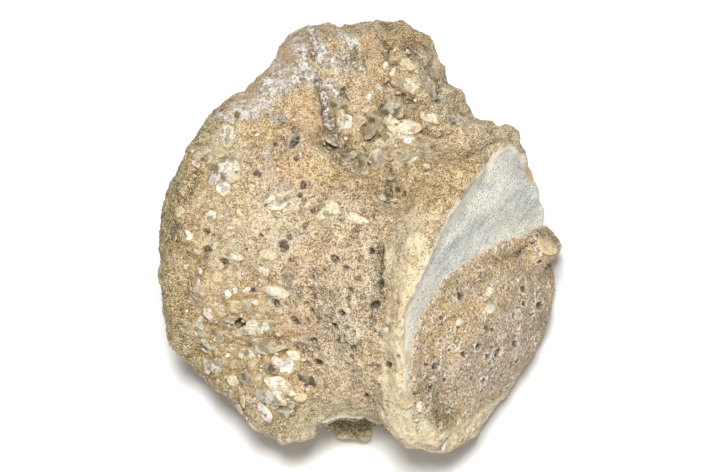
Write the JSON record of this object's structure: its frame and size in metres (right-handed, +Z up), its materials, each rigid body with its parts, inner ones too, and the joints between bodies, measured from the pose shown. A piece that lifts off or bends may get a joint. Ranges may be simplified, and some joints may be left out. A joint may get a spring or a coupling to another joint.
{
  "type": "fossil vertebra",
  "caption": "Broken fossil reptile vertebra lying on its side, with a domed end, an arch stump and a filled cup end.",
  "frame": {"origin": "middle of the footprint, on the surface that the specimen lies on", "axes": "+Z up as it lies on its side, +X along the centrum from the domed condyle to the filled cup, +Y towards the stump of the neural arch"},
  "size_m": [0.077, 0.0814, 0.0584],
  "materials": {
    "fossil_bone": "dull, rough, sandy tan mineralised bone with pale calcite grains, small dark pores and a smooth pale blue-grey marl wedge"
  },
  "bodies": {
    "root": {"vertebra": "fossil_bone"}
  },
  "joints": []
}
